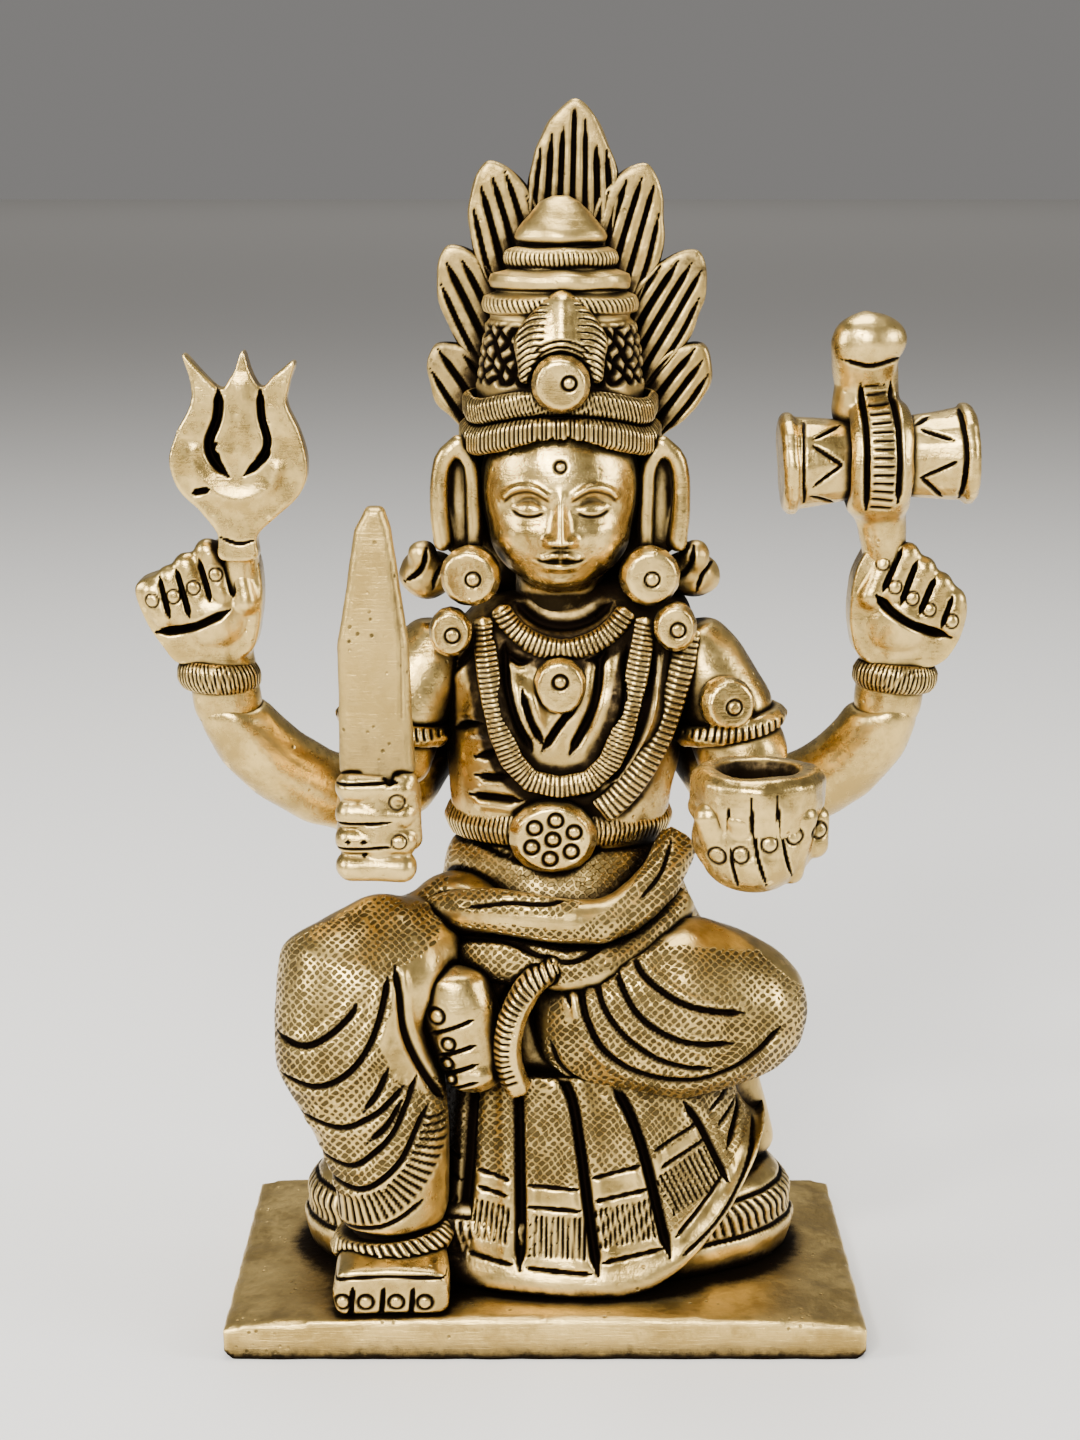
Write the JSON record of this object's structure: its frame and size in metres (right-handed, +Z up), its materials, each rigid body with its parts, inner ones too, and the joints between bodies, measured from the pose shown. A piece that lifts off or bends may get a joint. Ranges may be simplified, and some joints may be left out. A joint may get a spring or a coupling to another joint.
{
  "type": "seated deity statue",
  "caption": "Cast brass temple figure seated with one leg down on a rectangular plinth, four arms holding a sword, bowl, trident and hourglass drum, with a tall crown and flame halo.",
  "frame": {"origin": "centre of the plinth's underside", "axes": "+Z up through the figure, +Y towards its back, so it faces -Y; +X is to the right as seen from the front"},
  "size_m": [0.0937, 0.0558, 0.1382],
  "materials": {
    "figure": "hand-polished cast brass, brown patina left in the recesses",
    "ornament": "chased and polished cast brass, nearly black in the cuts",
    "cloth": "stippled and chased cast brass with dark patina between the folds",
    "headdress": "chased cast brass with heavy brown patina",
    "blade": "filed flat, dull, with casting pits",
    "plinth": "filed and scratched cast brass, brown patina on top"
  },
  "bodies": {
    "root": {"plinth": "plinth", "seat_cushion": "cloth", "sword": "blade", "sword_fist": "figure", "offering_bowl": "figure", "bowl_hand": "figure", "trident": "figure", "drum": "figure", "drum_serpent": "figure", "left_rear_hand": "figure", "right_rear_hand": "figure", "left_cuff": "ornament", "right_cuff": "ornament", "left_rear_arm": "figure", "right_rear_arm": "figure", "left_armlet": "ornament", "right_armlet": "ornament", "left_front_arm": "figure", "right_front_arm": "figure", "hanging_foot": "figure", "hanging_anklet": "ornament", "folded_foot": "figure", "folded_anklet": "ornament", "upper_swag": "cloth", "lower_swag": "cloth", "folded_leg": "cloth", "hanging_leg": "cloth", "apron": "cloth", "belt_buckle": "ornament", "torso": "figure", "belt": "ornament", "lap_drape": "cloth", "head": "figure", "pendant": "ornament", "short_necklace": "ornament", "long_necklace": "ornament", "shoulder_garland": "ornament", "left_earring": "ornament", "right_earring": "ornament", "left_shoulder_boss": "ornament", "right_shoulder_boss": "ornament", "left_ear": "figure", "right_ear": "figure", "crown_boss": "ornament", "crown_crest": "ornament", "crown_lower_band": "ornament", "crown_upper_band": "ornament", "crown": "headdress", "back_hair": "headdress", "left_side_knot": "headdress", "right_side_knot": "headdress", "flame_top": "headdress", "flame_upper_left": "headdress", "flame_upper_right": "headdress", "flame_middle_left": "headdress", "flame_middle_right": "headdress", "flame_lower_left": "headdress", "flame_lower_right": "headdress", "halo_backing": "headdress"}
  },
  "joints": []
}
